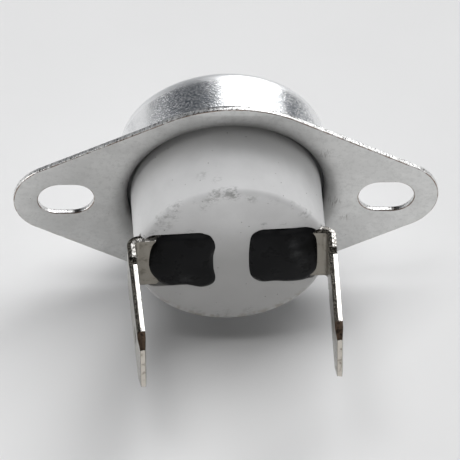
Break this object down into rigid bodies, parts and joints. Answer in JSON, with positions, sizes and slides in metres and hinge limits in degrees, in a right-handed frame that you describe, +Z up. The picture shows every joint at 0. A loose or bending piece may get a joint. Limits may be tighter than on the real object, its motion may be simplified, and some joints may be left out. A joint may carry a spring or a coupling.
{
  "type": "high-limit thermostat",
  "caption": "Snap-disc high-limit thermostat: drawn aluminium cap with slotted flange, ceramic base, sealed rivets and upright push-on tabs.",
  "frame": {"origin": "centre of the flat sensing face on the outside of the cap", "axes": "as screwed to an upright panel: +Y is the sensing face's outward normal, so the tabs point along -Y; +X runs along the flange through both slots; +Z is up"},
  "size_m": [0.041, 0.0289, 0.025],
  "materials": {
    "aluminium_sheet": "drawn sheet, satin flange and bright cap wall",
    "bimetal": "rolled strip, satin",
    "steatite": "unglazed, fine grained",
    "pin_ceramic": "unglazed, smooth",
    "base_ceramic": "unglazed white steatite with grey handling marks",
    "spring_copper": "rolled spring strip",
    "brass_plate": "stamped",
    "bracket_brass": "stamped and bent",
    "moving_silver": "silver, satin",
    "fixed_silver": "silver, satin",
    "tab_plating_left": "plated strip, bright sheared edges",
    "tab_plating_right": "plated strip, bright sheared edges",
    "rivet_brass_left": "headed and clinched",
    "rivet_brass_right": "headed and clinched",
    "resin_left": "poured black resin, softly glossy",
    "resin_right": "poured black resin, softly glossy"
  },
  "bodies": {
    "housing": {"mounting_cap": "aluminium_sheet", "pin_guide": "steatite", "ceramic_base": "base_ceramic", "arm_backing_plate": "brass_plate", "contact_bracket": "bracket_brass", "fixed_contact": "fixed_silver", "terminal_left": "tab_plating_left", "terminal_right": "tab_plating_right", "rivet_left": "rivet_brass_left", "rivet_right": "rivet_brass_right", "seal_left": "resin_left", "seal_right": "resin_right"},
    "disc": {"bimetal_disc": "bimetal"},
    "pin": {"push_pin": "pin_ceramic"},
    "arm": {"contact_arm": "spring_copper", "moving_contact": "moving_silver"}
  },
  "joints": [
    {"name": "disc_snap", "type": "slide", "parent": "housing", "child": "disc", "axis": [0, -1, 0], "range_m": [0, 0.00045]},
    {"name": "pin_travel", "type": "slide", "parent": "housing", "child": "pin", "axis": [0, -1, 0], "range_m": [0, 0.00045]},
    {"name": "arm_lift", "type": "hinge", "parent": "housing", "child": "arm", "pos_m": [-0.00461, -0.0108, -0.0003], "axis": [0.0645, 0, -0.9979], "range_deg": [0, 5.7], "stiffness_Nm_per_rad": 0.01, "springref_deg": -5.73}
  ],
  "couplings": [
    {"joint": "pin_travel", "follows": "disc_snap", "ratio": 1},
    {"joint": "arm_lift", "follows": "disc_snap", "rad_per_m": 216.7}
  ]
}
